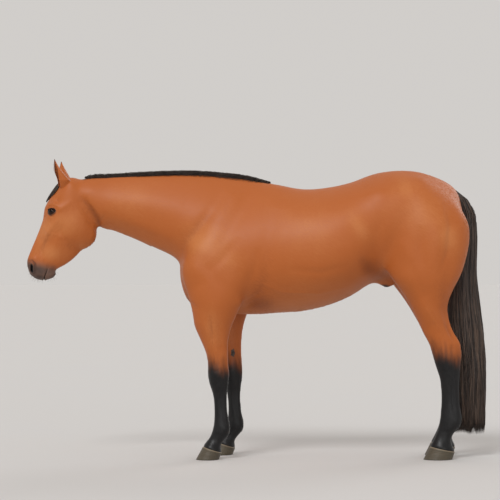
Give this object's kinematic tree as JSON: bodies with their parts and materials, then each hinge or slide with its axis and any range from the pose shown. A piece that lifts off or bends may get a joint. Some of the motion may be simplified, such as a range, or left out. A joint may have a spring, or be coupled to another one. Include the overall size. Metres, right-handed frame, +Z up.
{
  "type": "horse",
  "caption": "Life-size bay stock horse standing square and at rest, head carried low and level, with short mane, forelock and full tail.",
  "frame": {"origin": "on the floor, below the middle of the whole animal's bounding box", "axes": "the animal faces -X, its left side is -Y, and +Z is up"},
  "size_m": [2.5901, 0.6475, 1.675],
  "materials": {
    "bay_coat": "short flat bay coat with a soft sheen",
    "black_points": "short flat black coat of the lower legs",
    "black_hair": "long coarse black hair of mane, forelock and tail",
    "hoof_horn": "dull grey-brown horn",
    "eye": "wet dark brown eyeball"
  },
  "bodies": {
    "root": {"head": "bay_coat", "neck": "bay_coat", "shoulders": "bay_coat", "barrel": "bay_coat", "hindquarters": "bay_coat", "ear_left": "bay_coat", "eye_left": "eye", "forearm_left": "bay_coat", "gaskin_left": "bay_coat", "cannon_fore_left": "black_points", "cannon_hind_left": "black_points", "hoof_fore_left": "hoof_horn", "hoof_hind_left": "hoof_horn", "ear_right": "bay_coat", "eye_right": "eye", "forearm_right": "bay_coat", "gaskin_right": "bay_coat", "cannon_fore_right": "black_points", "cannon_hind_right": "black_points", "hoof_fore_right": "hoof_horn", "hoof_hind_right": "hoof_horn", "mane": "black_hair", "forelock": "black_hair", "tail": "black_hair"}
  },
  "joints": []
}
